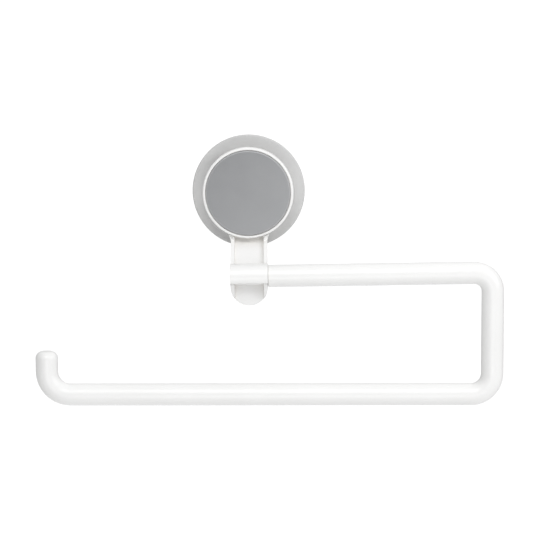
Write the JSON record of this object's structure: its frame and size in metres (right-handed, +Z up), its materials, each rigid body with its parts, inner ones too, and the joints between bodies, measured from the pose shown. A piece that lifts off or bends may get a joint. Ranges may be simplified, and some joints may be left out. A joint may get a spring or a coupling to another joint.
{
  "type": "paper towel holder",
  "caption": "Wall-mounted twist-lock suction holder with a swinging bent rod and upturned hook that carries a paper towel roll.",
  "frame": {"origin": "centre of the suction cup's back face, on the wall plane", "axes": "+X to the right along the rod, +Y into the wall, +Z up"},
  "size_m": [0.3098, 0.0404, 0.1795],
  "materials": {
    "white_plastic": "semi-gloss white moulded ABS",
    "grey_plastic": "satin mid grey",
    "cup_rubber": "smooth light grey soft rubber",
    "stud_plastic": "natural nylon",
    "washer_plastic": "natural acetal",
    "nut_brass": "machined",
    "fastener_steel": "zinc plated"
  },
  "bodies": {
    "cup": {"suction_cup": "cup_rubber", "cup_stud": "stud_plastic", "stud_washer": "fastener_steel", "stud_screw": "fastener_steel"},
    "holder": {"bracket": "white_plastic", "thrust_washer": "washer_plastic", "barrel_cap": "white_plastic"},
    "knob": {"knob": "white_plastic", "knob_nut": "nut_brass", "face_plate": "grey_plastic"},
    "rod": {"rod": "white_plastic", "pivot_pin": "fastener_steel", "pivot_washer": "fastener_steel", "pivot_screw": "fastener_steel"}
  },
  "joints": [
    {"name": "clamp_slide", "type": "slide", "parent": "cup", "child": "holder", "axis": [0, -1, 0], "range_m": [0, 0.002]},
    {"name": "knob_turn", "type": "hinge", "parent": "holder", "child": "knob", "pos_m": [0, 0, 0], "axis": [0, -1, 0], "range_deg": [0, 120]},
    {"name": "rod_swing", "type": "hinge", "parent": "holder", "child": "rod", "pos_m": [0, -0.032, -0.05382], "axis": [-1, 0, 0], "range_deg": [-15, 180]}
  ],
  "couplings": [
    {"joint": "knob_turn", "follows": "clamp_slide", "rad_per_m": 1047.2}
  ]
}
